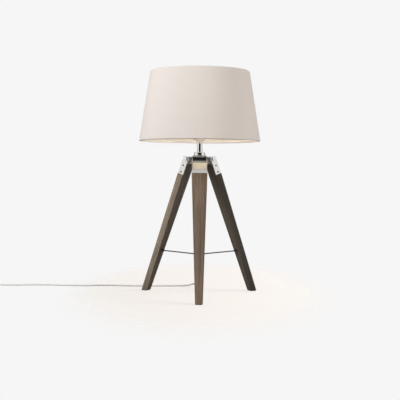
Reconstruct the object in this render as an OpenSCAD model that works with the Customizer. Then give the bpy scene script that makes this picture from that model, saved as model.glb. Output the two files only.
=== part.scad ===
// Tripod table lamp: a tapered fabric shade on a push-bar lampholder, carried by a metal hub
// on three folding wooden legs with a wire spreader, and a mains lead that ends in a plug.
// Millimetres, +Z up. The origin is on the table, under the middle of the lamp's outline.

/* [Legs] */
// Distance from the lamp axis to the outer edge of a foot
foot_reach = 195; // [170:1:215]
// Height of the leg hinges above the table
pivot_z = 388; // [360:1:420]
// Distance from the lamp axis to a leg hinge
pivot_r = 38; // [36:0.5:44]
// Thickness of a leg board
leg_t = 18.7; // [14:0.1:24]
// Width of a leg at the lower edge of its bracket
leg_top_w = 45; // [38:0.5:48]
// Width of a leg at the table
leg_foot_w = 21; // [16:0.5:34]
// Bevel on the long edges of a leg
leg_bevel = 1; // [0.4:0.1:2]
// Thickness of the pad under a foot
pad_t = 1.5; // [0.8:0.1:3]
// Distance from the edge of a foot to its pad
pad_inset = 2; // [1:0.5:4]

/* [Leg brackets] */
// Thickness of the bracket's folded sheet
sheet_t = 1.5; // [1:0.1:2]
// Step from the face of the leg down to the bracket
bracket_step = 1.25; // [0.8:0.05:2]
// Length of a bracket below its hinge
bracket_drop = 39.5; // [38:0.5:56]
// Distance from the hinge down to the bracket's outer plate
window_drop = 8.3; // [7:0.1:12]
// Height of the bracket's ears above the hinge
ear_rise = 4; // [3.5:0.1:6]
// Distance from the hinge down to the top of the wood
wood_drop = 7.5; // [6.5:0.1:9]
// Places of the bracket screws, down from the hinge
screw_upper = 13; // [12:0.5:16]
screw_lower = 33; // [24:0.5:34]
// Radius of a bracket screw's head
screw_head_r = 2.4; // [2:0.1:3]
// Radius of a bracket screw's shank
screw_r = 1.5; // [1:0.1:1.8]
// Length of a bracket screw under its head
screw_len = 10; // [6:0.5:14]
// Radius of a hinge pin
pin_r = 2; // [1.5:0.1:2.5]
// Radius of a hinge pin's rivet heads
pin_head_r = 3.4; // [3:0.1:4]
// Thickness of a hinge pin's rivet heads
pin_head_t = 0.9; // [0.6:0.1:1.5]

/* [Hub] */
// Thickness of the three-armed plate
plate_t = 3.6; // [3:0.1:8]
// Distance from a leg hinge up to the plate
lug_h = 11.5; // [11:0.1:16]
// Radius of the circle that ends the arms
arm_r = 48; // [46:0.5:54]
// Radius of the round boss under the plate
boss_r = 21.5; // [18:0.5:22]
// Depth of the boss under the plate
boss_h = 12.5; // [8:0.5:16]
// Radius of a hinge lug's barrel
lug_r = 4.5; // [4:0.1:5]
// Radius of the collar on the plate
collar_r = 17.5; // [14:0.5:20]
// Height of the collar
collar_h = 10.9; // [6:0.1:14]
// Outer radius of the neck tube
neck_r = 8; // [7.5:0.1:10]
// Wall of the neck tube
neck_t = 1; // [0.8:0.1:2]
// Length of the neck tube
neck_len = 29; // [20:0.5:60]
// Outer radius of the threaded tube that ties hub, neck and lampholder
nipple_r = 5; // [4.5:0.1:5.5]
// Bore radius of the threaded tube
nipple_bore_r = 3.4; // [3:0.1:3.6]
// Length of the threaded tube below the boss
nipple_tail = 11; // [10:0.5:16]
// Width across the flats of the hub nut
nut_af = 15; // [13:0.5:19]
// Height of the hub nut
nut_h = 6; // [4:0.5:8]
// Radius of the washer under the boss
washer_r = 12; // [10:0.5:16]
// Thickness of the washer
washer_t = 1.6; // [1:0.1:2.5]
// Length of the strain relief under the threaded tube
relief_len = 30; // [20:1:60]

/* [Lampholder] */
// Radius of the holder's base where it meets the neck
base_foot_r = 9.5; // [9:0.5:12]
// Outer radius of the holder's base
base_r = 17; // [16.5:0.5:20]
// Height of the tapered part of the base
base_cone_h = 15; // [14:0.5:20]
// Height of the straight part of the base
base_wall_h = 12; // [10:0.5:20]
// Outer radius of the threaded upper body
body_r = 18.5; // [18:0.1:20]
// Inner radius of the base and the upper body
body_bore_r = 15; // [14.8:0.1:15.4]
// Height of the upper body
body_h = 33; // [30:0.5:40]
// Radius of the flange that carries the shade
flange_r = 22; // [21:0.5:24]
// Thickness of that flange
flange_t = 3; // [2:0.1:4]
// Height of the push bar above the foot of the base
bar_rise = 9.5; // [9:0.1:10.5]
// Radius of the push bar
bar_r = 2.5; // [2:0.1:2.6]
// Length of the push bar that stands out on the left
bar_out = 4; // [3:0.1:6]
// Radius of the porcelain insulator's step
step_r = 12.5; // [11:0.1:13.5]
// Height of the porcelain insulator
insulator_h = 11; // [8:0.5:12]
// Radius of the lamp cap
cap_r = 13.1; // [12.8:0.1:13.4]
// Wall of the screw shell
shell_t = 0.5; // [0.3:0.1:0.8]
// Height of the screw shell
shell_h = 24; // [18:0.5:28]
// Outer radius of the shade ring
ring_r = 25; // [23:0.5:26]
// Height of the shade ring
ring_h = 6; // [4:0.5:9]

/* [Bulb] */
// Radius of the globe
globe_r = 30; // [22:0.5:48]
// Wall of the globe
globe_t = 1.2; // [0.8:0.1:2]
// Height of the globe's widest place above the bulb's foot
globe_rise = 82; // [75:1:95]
// Height of the lamp cap
cap_h = 26; // [24:0.5:28]
// Height of the bulb's heat sink
sink_h = 36; // [32:0.5:40]

/* [Shade] */
// Outer radius of the shade's lower edge
shade_bottom_r = 175; // [150:1:200]
// Outer radius of the shade's upper edge
shade_top_r = 143; // [110:1:150]
// Height of the shade
shade_h = 200; // [150:1:240]
// Thickness of the fabric cover
cover_t = 1; // [0.6:0.1:1.6]
// Thickness of the lining
lining_t = 0.6; // [0.4:0.1:1]
// Radius of the ring wires
wire_r = 1.5; // [1:0.1:2.5]
// Height of the fitter above the shade's lower edge
fitter_rise = 27; // [15:1:45]
// Thickness of the fitter's washer
fitter_t = 1.5; // [1:0.1:2.5]
// Outer radius of the fitter's washer
fitter_r = 29; // [28:0.5:34]

/* [Spreader] */
// Distance down a leg from its hinge to the rod's clevis
rod_drop = 278; // [220:1:300]
// Distance from a leg's face to the rod's pivot
clevis_out = 5; // [4.6:0.1:8]
// Radius of a clevis
clevis_r = 4.6; // [4.2:0.1:6]
// Radius of a rod
rod_r = 1.75; // [1.2:0.05:2.2]
// Slope of a rod, in degrees
rod_slope = 2.3; // [1.5:0.1:3]
// Distance from the lamp axis to the inner end of a rod
rod_in_r = 15; // [14:0.1:18]
// Radius of the eye at each end of a rod
eye_r = 3.4; // [3.2:0.1:3.6]
// Radius of a rod's pivot pin
rod_pin_r = 1.25; // [0.8:0.05:1.5]
// Radius of the centre plate
centre_r = 15.5; // [15:0.5:19]
// Thickness of the centre plate
centre_t = 2.5; // [1.5:0.1:4]

/* [Lead] */
// Diameter of the lead
cord_d = 5; // [4:0.1:6]
// Space between neighbouring turns of the coil
coil_gap = 0.5; // [0.45:0.05:0.9]
// Radius of the coil's outer turn, to the middle of the lead
coil_r = 33; // [32:0.5:38]
// Thickness of the band that ties the coil
tie_t = 0.7; // [0.4:0.1:1.2]
// Width of the band that ties the coil
tie_w = 9; // [5:0.5:14]
// Width of the plug
plug_w = 35; // [32:0.5:38]
// Height of the plug
plug_h = 14; // [13:0.5:16]
// Length of the plug's body
plug_len = 36; // [30:0.5:42]
// Radius of a plug pin
plug_pin_r = 2; // [2:0.1:2.4]
// Length of a plug pin
plug_pin_len = 19; // [17:0.5:22]
// Distance between the plug pins
plug_pitch = 18.6; // [17:0.1:20]

/* [Clearances] */
// Running clearance between a pin or bar and its hole
run_gap = 0.05; // [0.02:0.01:0.1]
// Clearance beside a moving lug or rod
side_gap = 0.3; // [0.2:0.05:0.5]
// Clearance between soft or seated pieces
seat_gap = 0.1; // [0.05:0.05:0.2]

/* [Hidden] */
SIDES = ["front", "left", "right"];
TURNS = [0, 240, 120];
$fn = 64;
eps = 0.01;
wood = "#8a7b6f";
satin = "#c9c7c3";
chrome = "#dcdcdc";
linen = "#dcd5cd";

// The shade reaches back as far as the front leg reaches forward, so the lamp axis stands here.
axis_y = (foot_reach - shade_bottom_r) / 2;

// Legs: each board lies along its own line from the hinge to the foot.
lean = atan2(foot_reach - pivot_r, pivot_z)
    - asin(leg_t / 2 / norm([foot_reach - pivot_r, pivot_z]));
leg_len = pivot_z / cos(lean) + leg_t;
bracket_w = leg_top_w - 2 * bracket_step;
rebate_w = bracket_w - 2 * sheet_t - 2 * seat_gap;
face_step = bracket_step / 2;
bend_r = 2.5;
ear_corner = 3;
screw_head_t = 1.1;
taper = (leg_top_w - leg_foot_w) / 2 / (pivot_z / cos(lean) - bracket_drop);

// Hub: its arms are as wide as the brackets, and its lugs fill the brackets.
arm_w = bracket_w + 0.5;
arm_len = pivot_r + 6;
lug_w = bracket_w - 2 * sheet_t - 2 * side_gap;
lug_neck = 2 * lug_r;
edge = 1;
collar_rim_h = 2;
collar_shoulder = 2;
ring_notch_r = 2;
ring_notch_out = 0.9;

// Heights of the stack on the lamp axis.
plate_z = pivot_z + lug_h;
boss_z = plate_z - boss_h;
collar_z = plate_z + plate_t;
neck_z = collar_z + collar_h;
base_z = neck_z + neck_len;
body_z = base_z + base_cone_h + base_wall_h;
seat_z = body_z + flange_t;
shade_z = seat_z - fitter_rise;
bar_z = base_z + bar_rise;
nipple_z = boss_z - nipple_tail;
relief_z = nipple_z - relief_len;
insulator_rise = 5;
insulator_z = base_z + base_cone_h + insulator_rise;
contact_z = insulator_z + insulator_h;
contact_t = 1.2;
contact_r = 4;
bulb_z = contact_z + contact_t + side_gap;
shell_bore_r = cap_r + run_gap;
base_floor = 4;
bar_right = base_foot_r + (base_r - base_foot_r) * bar_rise / base_cone_h;
bar_left = bar_right + bar_out;
bar_edge = 0.6;
nipple_top = bar_z - bar_r - 1;

// Strain relief: its wall round the lead, its waist and the flange that screws on the tube.
relief_wall = 0.9;
relief_waist = 0.6;
relief_flange = 1.4;
relief_flange_h = 3;

// Bulb: its foot contact, its shoulder and the widening of its heat sink.
cap_tip_r = 4.5;
cap_edge_r = 6;
cap_edge_h = 2.5;
cap_shoulder_h = 7;
sink_foot = 0.6;
sink_foot_h = 5;
sink_top_r = sqrt(pow(globe_r, 2) - pow(globe_rise - cap_h - sink_h, 2));

// Shade: its slope, its lower wire ring and the directions of the fitter's arms.
shade_slope = atan2(shade_bottom_r - shade_top_r, shade_h);
hem = 0.5;
low_ring_z = shade_z + wire_r + hem;
fitter_gap = 0.4;
FITTER_ARMS = [90, 210, 330];

// Spreader: a rod's outer pivot in the upright plane of its leg.
pivot_out = leg_t / 2 + clevis_out;
rod_out_r = pivot_r - pivot_out * cos(lean) + rod_drop * sin(lean);
rod_out_z = pivot_z - pivot_out * sin(lean) - rod_drop * cos(lean);
rod_len = (rod_out_r - rod_in_r) / cos(rod_slope);
rod_in_z = rod_out_z - rod_len * sin(rod_slope);
rod_eye_t = 3;
eye_bite = 0.6;
cheek_t = 1.2;
cheek_r = 3;
cheek_len = 3;
rod_pin_head = 0.7;
clevis_t = 1.5;
clevis_screw_r = 1.5;
clevis_screw_len = 8;
centre_screw_r = 2;
centre_screw_tail = 2;
centre_head_r = 3.6;
centre_head_h = 2.2;
centre_z = rod_in_z + eye_r + side_gap;

// Lead: its height on the table, and the coil beyond its straight run.
cord_r = cord_d / 2;
coil_pitch = cord_d + coil_gap;
coil_turns = 4.25;
coil_steps = 24;
tie_gap = 0.5;
coil_half = 2;
coil_z = cord_r + tie_t + seat_gap;
coil_x = -668;
coil_back_y = 176;
coil_c = [coil_x, coil_back_y - coil_r];
coil_end_r = coil_r + (coil_turns - 2 * coil_half) * coil_pitch;
coil_top_z = coil_z + coil_pitch;
tail_x = coil_c[0] - coil_end_r;
plug_z = plug_h / 2;
plug_neck = 14;
plug_neck_r = 5.2;
plug_neck_wall = 1.1;
plug_corner_r = 3;
plug_step = 6;
plug_y = coil_c[1] - coil_r - plug_step;
plug_root = 8;
plug_root_r = 1.5;
tail_lead = 4;

// The lead's route from the strain relief to the coil, from the lamp axis.
CORD_POINTS = [
    [0, 0, relief_z], [0, 0, relief_z - 12], [0, 2, 312], [0, 6, 275], [-1, 13, 235],
    [-2, 21, 195], [-3, 28, 158], [-4, 35, 124], [-5, 46, 92], [-6, 63, 62], [-7, 86, 38],
    [-9, 113, 23], [-12, 140, 15], [-18, 162, 10], [-28, 174, 5.5], [-44, 178, 2.8],
    [-66, 178, cord_r], [-95, 176, cord_r], [-130, 175, cord_r], [-165, 173, cord_r],
    [-200, 172, cord_r], [-232, 174, cord_r], [-264, 180, cord_r], [-298, 181, cord_r],
    [-330, 174, cord_r], [-360, 171, cord_r], [-400, 174, cord_r], [-445, 181, cord_r],
    [-490, 184, cord_r], [-535, 181, cord_r], [-575, 177, cord_r],
    [-612, 176, cord_r + 0.2], [-640, coil_back_y, coil_z],
    [coil_x + cord_d, coil_back_y, coil_z]
];

// A smooth curve through a list of points, each stretch cut into a few steps.
function spline(a, b, c, d, t) =
    0.5 * (2 * b + (c - a) * t + (2 * a - 5 * b + 4 * c - d) * t * t
    + (3 * b - a - 3 * c + d) * t * t * t);
function smooth_path(p, steps) = [
    for (i = [0 : len(p) - 2], s = [0 : steps - 1])
        spline(p[max(i - 1, 0)], p[i], p[i + 1], p[min(i + 2, len(p) - 1)], s / steps),
    p[len(p) - 1]
];
function unit(v) = v / norm(v);
function path_dir(p, i) = unit(p[min(i + 1, len(p) - 1)] - p[max(i - 1, 0)]);
// A ring of points square to the path, its first point always to the path's upper side.
function ring_at(c, d, r, sides) =
    let (side = unit(abs(d[2]) > 0.85 ? cross(d, [0, 1, 0]) : cross(d, [0, 0, 1])))
    let (up = cross(side, d))
    [for (k = [0 : sides - 1]) let (a = 360 * (k + 0.5) / sides)
        c + r * (cos(a) * side + sin(a) * up)];

// A tube along a path, with flat ends.
module tube(path, r, sides) {
    n = len(path);
    points = [for (i = [0 : n - 1]) each ring_at(path[i], path_dir(path, i), r, sides)];
    walls = [
        for (i = [0 : n - 2], k = [0 : sides - 1])
            let (a = i * sides + k, b = i * sides + (k + 1) % sides)
            each [[a, b, b + sides], [a, b + sides, a + sides]]
    ];
    first_cap = [for (k = [1 : sides - 2]) [0, k + 1, k]];
    last = (n - 1) * sides;
    last_cap = [for (k = [1 : sides - 2]) [last, last + k, last + k + 1]];
    polyhedron(points, concat(walls, first_cap, last_cap), convexity = 10);
}

// Places a leg's own pieces: the first turns the piece round the lamp axis, the second also
// moves it to the hinge and along the board, with the board's outer face at -Y.
module on_axis() {
    translate([0, axis_y, 0]) children();
}
module at_side(i) {
    on_axis() rotate([0, 0, TURNS[i]]) children();
}
module at_leg(i) {
    at_side(i) translate([0, -pivot_r, pivot_z]) rotate([-lean, 0, 0]) children();
}
// A cylinder along X, centred.
module x_pin(r, len) {
    rotate([0, 90, 0]) cylinder(r = r, h = len, center = true);
}

// ---- Hub and neck ----

module arm_outline() {
    intersection() {
        union() {
            for (a = TURNS) rotate(a) translate([-arm_w / 2, -arm_len]) square([arm_w, arm_len]);
        }
        circle(r = arm_r);
    }
}
module hub() {
    color(satin) difference() {
        union() {
            on_axis() translate([0, 0, plate_z]) linear_extrude(plate_t) arm_outline();
            on_axis() rotate_extrude() polygon([
                [0, boss_z], [boss_r - edge, boss_z], [boss_r, boss_z + edge],
                [boss_r, plate_z + eps], [0, plate_z + eps]
            ]);
            for (i = [0 : 2]) at_side(i) translate([0, -pivot_r, pivot_z]) {
                x_pin(lug_r, lug_w);
                translate([-lug_w / 2, -lug_neck / 2, 0]) cube([lug_w, lug_neck, lug_h + eps]);
            }
        }
        on_axis() translate([0, 0, boss_z - edge])
            cylinder(r = nipple_r + run_gap, h = boss_h + plate_t + 2 * edge);
        for (i = [0 : 2]) at_side(i) translate([0, -pivot_r, pivot_z])
            x_pin(pin_r + run_gap, lug_w + 2);
    }
}
module hub_collar() {
    color(chrome) on_axis() rotate_extrude() polygon([
        [nipple_r + run_gap, collar_z], [collar_r, collar_z],
        [collar_r, collar_z + collar_rim_h], [collar_r - edge, collar_z + collar_rim_h + edge],
        [collar_r - edge, neck_z - collar_shoulder], [collar_r - edge - collar_shoulder, neck_z],
        [nipple_r + run_gap, neck_z]
    ]);
}
module neck_tube() {
    color(chrome) on_axis() translate([0, 0, neck_z]) difference() {
        cylinder(r = neck_r, h = neck_len);
        translate([0, 0, -1]) cylinder(r = neck_r - neck_t, h = neck_len + 2);
    }
}
module threaded_tube() {
    color("#b9b7ae") on_axis() translate([0, 0, nipple_z]) difference() {
        cylinder(r = nipple_r, h = nipple_top - nipple_z);
        translate([0, 0, -1]) cylinder(r = nipple_bore_r, h = nipple_top - nipple_z + 2);
    }
}
module hub_washer() {
    color(satin) on_axis() translate([0, 0, boss_z - washer_t]) difference() {
        cylinder(r = washer_r, h = washer_t);
        translate([0, 0, -1]) cylinder(r = nipple_r + run_gap, h = washer_t + 2);
    }
}
module hub_nut() {
    color(satin) on_axis() translate([0, 0, boss_z - washer_t - nut_h]) difference() {
        cylinder(r = nut_af / sqrt(3), h = nut_h, $fn = 6);
        translate([0, 0, -1]) cylinder(r = nipple_r + run_gap, h = nut_h + 2);
    }
}
module strain_relief() {
    color("#e8e6e2") on_axis() rotate_extrude() polygon([
        [0, relief_z], [cord_r + relief_wall, relief_z],
        [nipple_r - relief_waist, nipple_z - relief_flange_h - edge],
        [nipple_r + relief_flange, nipple_z - relief_flange_h],
        [nipple_r + relief_flange, nipple_z], [0, nipple_z]
    ]);
}

// ---- Lampholder and bulb ----

module holder_base() {
    color("#c8bdb0") difference() {
        on_axis() rotate_extrude() polygon([
            [nipple_r + run_gap, base_z], [base_foot_r, base_z], [base_r, base_z + base_cone_h],
            [base_r, body_z], [body_bore_r, body_z], [body_bore_r, insulator_z],
            [step_r, insulator_z], [step_r, base_z + base_cone_h],
            [base_foot_r - 2, base_z + base_floor], [nipple_r + run_gap, base_z + base_floor]
        ]);
        on_axis() translate([0, 0, bar_z]) x_pin(bar_r + run_gap, 4 * base_r);
    }
}
module switch_bar() {
    color("#1b1b1c") on_axis() translate([-bar_left, 0, bar_z]) rotate([0, 90, 0]) rotate_extrude()
        polygon([
            [0, 0], [bar_r - bar_edge, 0], [bar_r, bar_edge], [bar_r, bar_left + bar_right - bar_edge],
            [bar_r - bar_edge, bar_left + bar_right], [0, bar_left + bar_right]
        ]);
}
module holder_body() {
    color("#c8bdb0") on_axis() rotate_extrude() polygon([
        [body_bore_r, body_z], [flange_r, body_z], [flange_r, seat_z], [body_r, seat_z],
        [body_r, body_z + body_h - edge], [body_r - edge, body_z + body_h],
        [body_bore_r, body_z + body_h]
    ]);
}
module insulator() {
    color("#efece4") on_axis() translate([0, 0, insulator_z])
        cylinder(r = body_bore_r - seat_gap, h = insulator_h);
}
module screw_shell() {
    color("#c9a24a") on_axis() translate([0, 0, contact_z]) difference() {
        cylinder(r = shell_bore_r + shell_t, h = shell_h);
        translate([0, 0, -1]) cylinder(r = shell_bore_r, h = shell_h + 2);
    }
}
module centre_contact() {
    color("#c9a24a") on_axis() translate([0, 0, contact_z]) cylinder(r = contact_r, h = contact_t);
}
module shade_ring() {
    color("#c8bdb0") on_axis() translate([0, 0, seat_z + fitter_t + seat_gap]) difference() {
        cylinder(r = ring_r, h = ring_h);
        translate([0, 0, -1]) cylinder(r = body_r + run_gap, h = ring_h + 2);
        for (a = [0 : 30 : 330]) rotate(a) translate([ring_r + ring_notch_out, 0, -1])
            cylinder(r = ring_notch_r, h = ring_h + 2, $fn = 24);
    }
}
module bulb_cap() {
    color("#c9c9c6") on_axis() translate([0, 0, bulb_z]) rotate_extrude() polygon([
        [0, 0], [cap_tip_r, 0], [cap_edge_r, cap_edge_h], [cap_r, cap_shoulder_h], [cap_r, cap_h],
        [0, cap_h]
    ]);
}
module bulb_heat_sink() {
    color("#f2f1ee") on_axis() translate([0, 0, bulb_z + cap_h]) rotate_extrude() polygon([
        [0, 0], [cap_r, 0], [cap_r + sink_foot, sink_foot_h], [sink_top_r * 0.75, sink_h * 0.5],
        [sink_top_r, sink_h], [0, sink_h]
    ]);
}
module bulb_globe() {
    color("#fbfaf5") on_axis() difference() {
        translate([0, 0, bulb_z + globe_rise]) sphere(r = globe_r);
        translate([0, 0, bulb_z + globe_rise]) sphere(r = globe_r - globe_t);
        translate([-globe_r - 1, -globe_r - 1, bulb_z + cap_h + sink_h - 2 * globe_r])
            cube([2 * globe_r + 2, 2 * globe_r + 2, 2 * globe_r]);
    }
}

// ---- Shade ----

function shade_r(z) = shade_bottom_r
    + (shade_top_r - shade_bottom_r) * (z - shade_z) / shade_h;
// A wall that follows the shade's slope, with its outer face this far inside the fabric.
module shade_wall(inset, wall, z0, z1) {
    on_axis() rotate_extrude($fn = 128) polygon([
        [shade_r(z0) - inset - wall, z0], [shade_r(z0) - inset, z0],
        [shade_r(z1) - inset, z1], [shade_r(z1) - inset - wall, z1]
    ]);
}
module wire_ring(z) {
    on_axis() translate([0, 0, z]) rotate_extrude($fn = 128)
        translate([ring_line_r(z), 0]) circle(r = wire_r, $fn = 24);
}
function ring_line_r(z) = shade_r(z) - cover_t - lining_t - 2 * seat_gap
    - wire_r / cos(shade_slope);
module shade_cover() {
    color(linen) shade_wall(0, cover_t, shade_z, shade_z + shade_h);
}
module shade_lining() {
    color("#efe3d2") shade_wall(cover_t + seat_gap, lining_t, shade_z + hem,
        shade_z + shade_h - hem);
}
module shade_top_ring() {
    color("#e6e3de") wire_ring(shade_z + shade_h - wire_r - hem);
}
module shade_bottom_ring() {
    color("#e6e3de") wire_ring(low_ring_z);
}
module shade_fitter() {
    start = [fitter_r - wire_r, seat_z + fitter_t / 2];
    stop = [ring_line_r(low_ring_z), low_ring_z];
    slope = atan2(start[1] - stop[1], stop[0] - start[0]);
    color("#e6e3de") {
        on_axis() translate([0, 0, seat_z]) difference() {
            cylinder(r = fitter_r, h = fitter_t);
            translate([0, 0, -1]) cylinder(r = body_r + fitter_gap, h = fitter_t + 2);
        }
        for (a = FITTER_ARMS) on_axis() rotate(a) translate([start[0], 0, start[1]])
            rotate([0, 90 + slope, 0]) cylinder(r = wire_r, h = norm(stop - start), $fn = 24);
    }
}

// ---- Legs, brackets and hinges ----

// A bevelled cross-section of the board, as a thin slice.
module board_slice(w) {
    b = leg_bevel;
    h = leg_t / 2;
    linear_extrude(eps) polygon([
        [-w / 2 + b, -h], [w / 2 - b, -h], [w / 2, b - h], [w / 2, h - b],
        [w / 2 - b, h], [b - w / 2, h], [-w / 2, h - b], [-w / 2, b - h]
    ]);
}
module board() {
    hull() {
        translate([0, 0, -bracket_drop - eps - side_gap]) board_slice(leg_top_w);
        translate([0, 0, -leg_len]) board_slice(leg_top_w - 2 * taper * (leg_len - bracket_drop));
    }
    y0 = face_step + sheet_t + seat_gap - leg_t / 2;
    translate([-rebate_w / 2, y0, -bracket_drop - 2])
        cube([rebate_w, leg_t / 2 - leg_bevel / 2 - y0, bracket_drop + 2 - wood_drop]);
}
module leg(i) {
    floor_cut = 3 * leg_t;
    color(wood) difference() {
        at_leg(i) board();
        at_side(i) translate([-leg_top_w, -foot_reach - floor_cut, pad_t - floor_cut])
            cube([2 * leg_top_w, foot_reach + floor_cut, floor_cut]);
        at_leg(i) for (d = [screw_upper, screw_lower], s = [-1, 1])
            translate([s * (bracket_w / 2 - screw_len / 2), 0, -d])
                x_pin(screw_r + run_gap, screw_len + 1);
        at_leg(i) translate([0, leg_t / 2 + 1, -rod_drop]) rotate([90, 0, 0])
            cylinder(r = clevis_screw_r + run_gap, h = clevis_screw_len + 2);
    }
}
// The folded channel, seen along the board.
module channel_outline() {
    y0 = face_step - leg_t / 2;
    difference() {
        union() {
            translate([-bracket_w / 2, y0 + bend_r]) square([bracket_w, leg_t / 2 - y0 - bend_r]);
            translate([bend_r - bracket_w / 2, y0]) square([bracket_w - 2 * bend_r, bend_r + eps]);
            for (s = [-1, 1]) translate([s * (bracket_w / 2 - bend_r), y0 + bend_r])
                circle(r = bend_r);
        }
        translate([sheet_t - bracket_w / 2, y0 + sheet_t])
            square([bracket_w - 2 * sheet_t, leg_t + 1]);
    }
}
// The bracket seen from its side, with its upper corners rounded.
module ear_outline() {
    y0 = -leg_t / 2;
    translate([y0, -bracket_drop]) square([leg_t, bracket_drop + ear_rise - ear_corner]);
    translate([y0 + ear_corner, 0]) square([leg_t - 2 * ear_corner, ear_rise]);
    for (s = [-1, 1]) translate([s * (leg_t / 2 - ear_corner), ear_rise - ear_corner])
        circle(r = ear_corner);
}
module bracket(i) {
    inner_w = bracket_w - 2 * sheet_t;
    color(satin) at_leg(i) difference() {
        intersection() {
            translate([0, 0, -bracket_drop]) linear_extrude(bracket_drop + ear_rise)
                channel_outline();
            rotate([90, 0, 90]) linear_extrude(2 * bracket_w, center = true) ear_outline();
        }
        translate([-inner_w / 2, -leg_t, -window_drop]) cube([inner_w, leg_t, leg_t + window_drop]);
        x_pin(pin_r + run_gap, 2 * bracket_w);
        for (d = [screw_upper, screw_lower]) translate([0, 0, -d])
            x_pin(screw_r + run_gap, 2 * bracket_w);
    }
}
module bracket_screws(i) {
    color("#6f6c68") at_leg(i) for (d = [screw_upper, screw_lower], s = [-1, 1])
        translate([s * bracket_w / 2, 0, -d]) rotate([0, -90 * s, 0]) {
            translate([0, 0, -screw_head_t]) cylinder(r = screw_head_r, h = screw_head_t);
            translate([0, 0, -eps]) cylinder(r = screw_r, h = screw_len);
        }
}
module hinge_pin(i) {
    color(satin) at_leg(i) {
        x_pin(pin_r, bracket_w + eps);
        for (s = [-1, 1]) translate([s * (bracket_w + pin_head_t) / 2, 0, 0])
            x_pin(pin_head_r, pin_head_t);
    }
}
module foot_pad(i) {
    depth = leg_t / cos(lean);
    color("#3c3733") at_side(i)
        translate([pad_inset - leg_foot_w / 2, pad_inset - foot_reach, 0])
            cube([leg_foot_w - 2 * pad_inset, depth - 2 * pad_inset, pad_t]);
}

// ---- Spreader ----

module clevis(i) {
    cheek_x = rod_eye_t / 2 + side_gap;
    color("#4a4744") at_leg(i) translate([0, leg_t / 2, -rod_drop]) difference() {
        union() {
            rotate([-90, 0, 0]) cylinder(r = clevis_r, h = clevis_t);
            rotate([90, 0, 0]) translate([0, 0, -eps])
                cylinder(r = clevis_screw_r, h = clevis_screw_len);
            for (s = [-1, 1]) {
                translate([s * (cheek_x + cheek_t / 2) - cheek_t / 2, 0, -cheek_r])
                    cube([cheek_t, clevis_out, 2 * cheek_r]);
                translate([s * (cheek_x + cheek_t / 2), clevis_out, 0]) x_pin(cheek_r, cheek_t);
            }
        }
        translate([0, clevis_out, 0]) x_pin(rod_pin_r + run_gap, 4 * clevis_r);
    }
}
module rod_pin(i) {
    len = rod_eye_t + 2 * side_gap + 2 * cheek_t;
    color("#4a4744") at_leg(i) translate([0, pivot_out, -rod_drop]) {
        x_pin(rod_pin_r, len + eps);
        for (s = [-1, 1]) translate([s * (len + pin_head_t) / 2, 0, 0])
            x_pin(rod_pin_r + rod_pin_head, pin_head_t);
    }
}
module rod(i) {
    color("#4a4744") at_side(i) translate([0, -rod_out_r, rod_out_z]) rotate([-rod_slope, 0, 0])
        difference() {
            union() {
                for (y = [0, rod_len]) translate([0, y, 0]) x_pin(eye_r, rod_eye_t);
                translate([0, eye_r - eye_bite, 0]) rotate([-90, 0, 0])
                    cylinder(r = rod_r, h = rod_len - 2 * (eye_r - eye_bite));
            }
            for (y = [0, rod_len]) translate([0, y, 0]) x_pin(rod_pin_r + run_gap, 2 * rod_eye_t);
        }
}
module spreader_plate() {
    cheek_x = rod_eye_t / 2 + side_gap;
    color("#4a4744") difference() {
        union() {
            on_axis() translate([0, 0, centre_z]) cylinder(r = centre_r, h = centre_t);
            for (i = [0 : 2], s = [-1, 1]) at_side(i)
                translate([s * (cheek_x + cheek_t / 2) - cheek_t / 2, -rod_in_r, centre_z - cheek_len])
                    cube([cheek_t, cheek_len, cheek_len + eps]);
        }
        on_axis() translate([0, 0, centre_z - 1])
            cylinder(r = centre_screw_r + run_gap, h = centre_t + 2);
    }
}
module spreader_screw() {
    color("#4a4744") on_axis() translate([0, 0, centre_z + centre_t]) {
        translate([0, 0, -centre_t - centre_screw_tail])
            cylinder(r = centre_screw_r, h = centre_t + centre_screw_tail + eps);
        rotate_extrude() polygon([
            [0, 0], [centre_head_r, 0], [centre_head_r * 0.9, centre_head_h * 0.55],
            [centre_head_r * 0.5, centre_head_h * 0.9], [0, centre_head_h]
        ]);
    }
}

// ---- Lead ----

// The coil's line: turns is counted from where the straight run meets it. It winds in on the
// table, climbs one lead's height in the half turn where it reverses, and winds out again.
function ease(t) = let (u = min(max(t, 0), 1)) u * u * (3 - 2 * u);
function coil_point(turns) =
    let (r = coil_r - coil_pitch * (coil_half - abs(turns - coil_half)))
    let (a = 90 + 360 * turns)
    [coil_c[0] + r * cos(a), coil_c[1] + r * sin(a),
     coil_z + coil_pitch * ease((turns - coil_half + 0.25) * 2)];
COIL_LINE = [for (k = [0 : coil_turns * coil_steps]) coil_point(k / coil_steps)];
COIL_PATH = concat(
    [COIL_LINE[0] + [cord_d, 0, 0]], COIL_LINE, [COIL_LINE[len(COIL_LINE) - 1] - [0, cord_d, 0]]
);
TAIL_POINTS = [
    [tail_x, coil_c[1] - cord_d - side_gap, coil_top_z],
    [tail_x, coil_c[1] - cord_d - tail_lead, coil_top_z],
    [tail_x, plug_y + plug_neck + tail_lead, plug_z],
    [tail_x, plug_y + plug_neck + side_gap, plug_z]
];
function path_len(p) = len(p) < 2 ? 0
    : [for (i = 0, s = 0; i < len(p); s = s + (i + 1 < len(p) ? norm(p[i + 1] - p[i]) : 0),
        i = i + 1) s][len(p) - 1];
coil_gap_least = min([
    for (i = [0 : len(COIL_LINE) - 1], j = [i + coil_steps / 2 : len(COIL_LINE) - 1])
        norm(COIL_LINE[i] - COIL_LINE[j])
]) - cord_d;
echo("least gap between turns of the coil", coil_gap_least);
echo("length of the lead", path_len(smooth_path(CORD_POINTS, 2)), path_len(COIL_PATH),
    path_len(smooth_path(TAIL_POINTS, 3)));

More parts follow.
